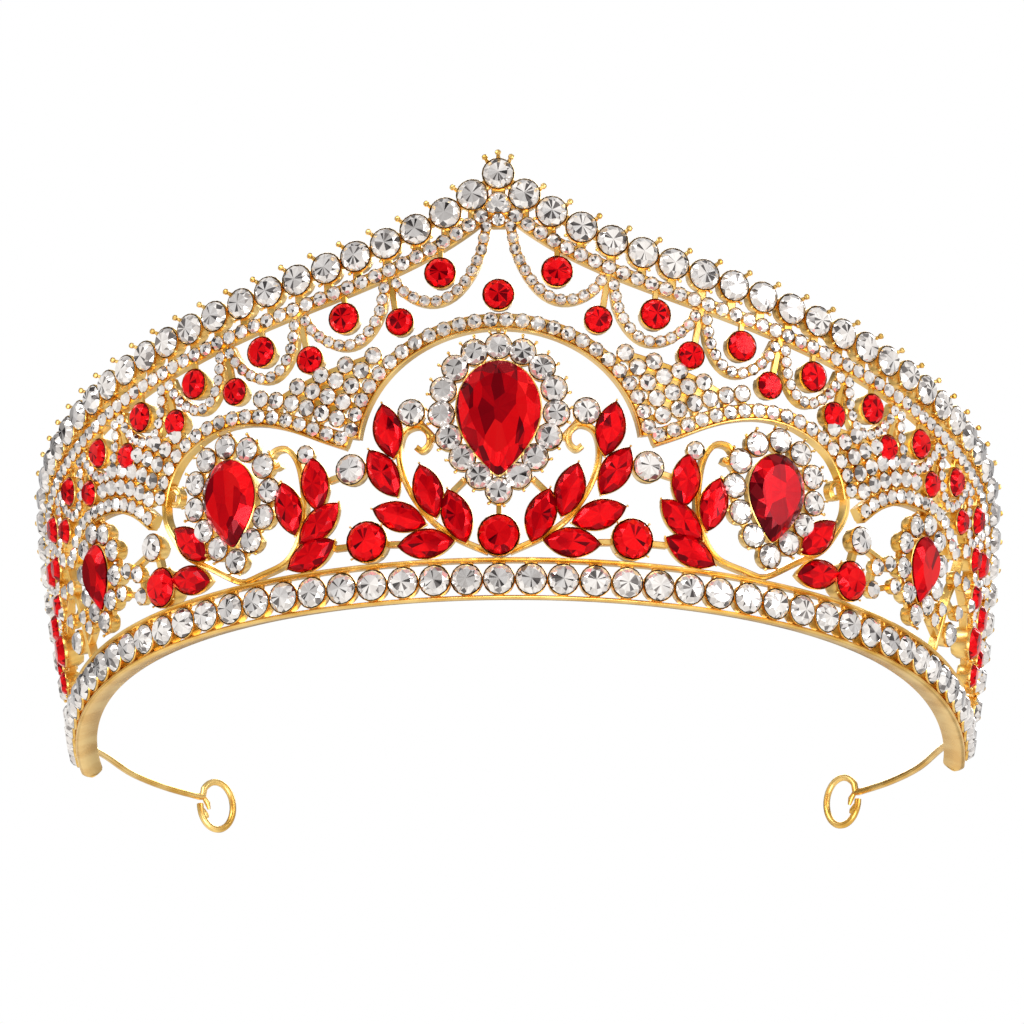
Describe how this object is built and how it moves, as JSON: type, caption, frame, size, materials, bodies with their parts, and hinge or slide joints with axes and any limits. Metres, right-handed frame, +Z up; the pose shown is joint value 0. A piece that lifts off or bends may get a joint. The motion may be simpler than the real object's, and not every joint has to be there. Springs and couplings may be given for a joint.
{
  "type": "crown",
  "caption": "Gold-plated openwork tiara on a sprung band, set with red and clear glass stones, with wire eyes at its back ends for hairpins.",
  "frame": {"origin": "front centre of the band's underside, where the crown stands on its lower rail", "axes": "+X to the viewer's right across the band, -Y towards the viewer at the front, +Y towards the open back, +Z up"},
  "size_m": [0.1636, 0.1318, 0.0676],
  "materials": {
    "gold_plate": "polished gold plate over cast brass, with softer cast skin in the recesses",
    "ruby_glass": "foil-backed cut red glass, polished facets",
    "clear_glass": "foil-backed cut clear glass, polished facets"
  },
  "bodies": {
    "root": {"back_wire_left": "gold_plate", "back_wire_right": "gold_plate", "base_cup_chain": "gold_plate", "central_arch": "gold_plate", "crest_cup_chain": "gold_plate", "drop_ruby_center": "ruby_glass", "end_arch_left": "gold_plate", "end_arch_right": "gold_plate", "end_panel_left": "gold_plate", "end_panel_right": "gold_plate", "foot_ruby_center": "ruby_glass", "foot_ruby_left_1": "ruby_glass", "foot_ruby_left_2": "ruby_glass", "foot_ruby_right_1": "ruby_glass", "foot_ruby_right_2": "ruby_glass", "garland_left": "gold_plate", "garland_right": "gold_plate", "lattice_inner_left": "gold_plate", "lattice_inner_right": "gold_plate", "lattice_outer_left": "gold_plate", "lattice_outer_right": "gold_plate", "lower_rail": "gold_plate", "medallion_center": "gold_plate", "medallion_end_left": "gold_plate", "medallion_end_right": "gold_plate", "medallion_side_left": "gold_plate", "medallion_side_right": "gold_plate", "pear_center": "ruby_glass", "pear_end_left": "ruby_glass", "pear_end_right": "ruby_glass", "pear_side_left": "ruby_glass", "pear_side_right": "ruby_glass", "round_crystal_left": "clear_glass", "round_crystal_right": "clear_glass", "side_arch_left": "gold_plate", "side_arch_right": "gold_plate", "spray_center_left": "gold_plate", "spray_center_right": "gold_plate", "spray_end_left": "gold_plate", "spray_end_right": "gold_plate", "spray_side_left": "gold_plate", "spray_side_right": "gold_plate", "swag_ruby_left_1": "ruby_glass", "swag_ruby_left_2": "ruby_glass", "swag_ruby_left_3": "ruby_glass", "swag_ruby_left_4": "ruby_glass", "swag_ruby_left_5": "ruby_glass", "swag_ruby_left_6": "ruby_glass", "swag_ruby_left_7": "ruby_glass", "swag_ruby_left_8": "ruby_glass", "swag_ruby_right_1": "ruby_glass", "swag_ruby_right_2": "ruby_glass", "swag_ruby_right_3": "ruby_glass", "swag_ruby_right_4": "ruby_glass", "swag_ruby_right_5": "ruby_glass", "swag_ruby_right_6": "ruby_glass", "swag_ruby_right_7": "ruby_glass", "swag_ruby_right_8": "ruby_glass", "upper_rail": "gold_plate"}
  },
  "joints": []
}
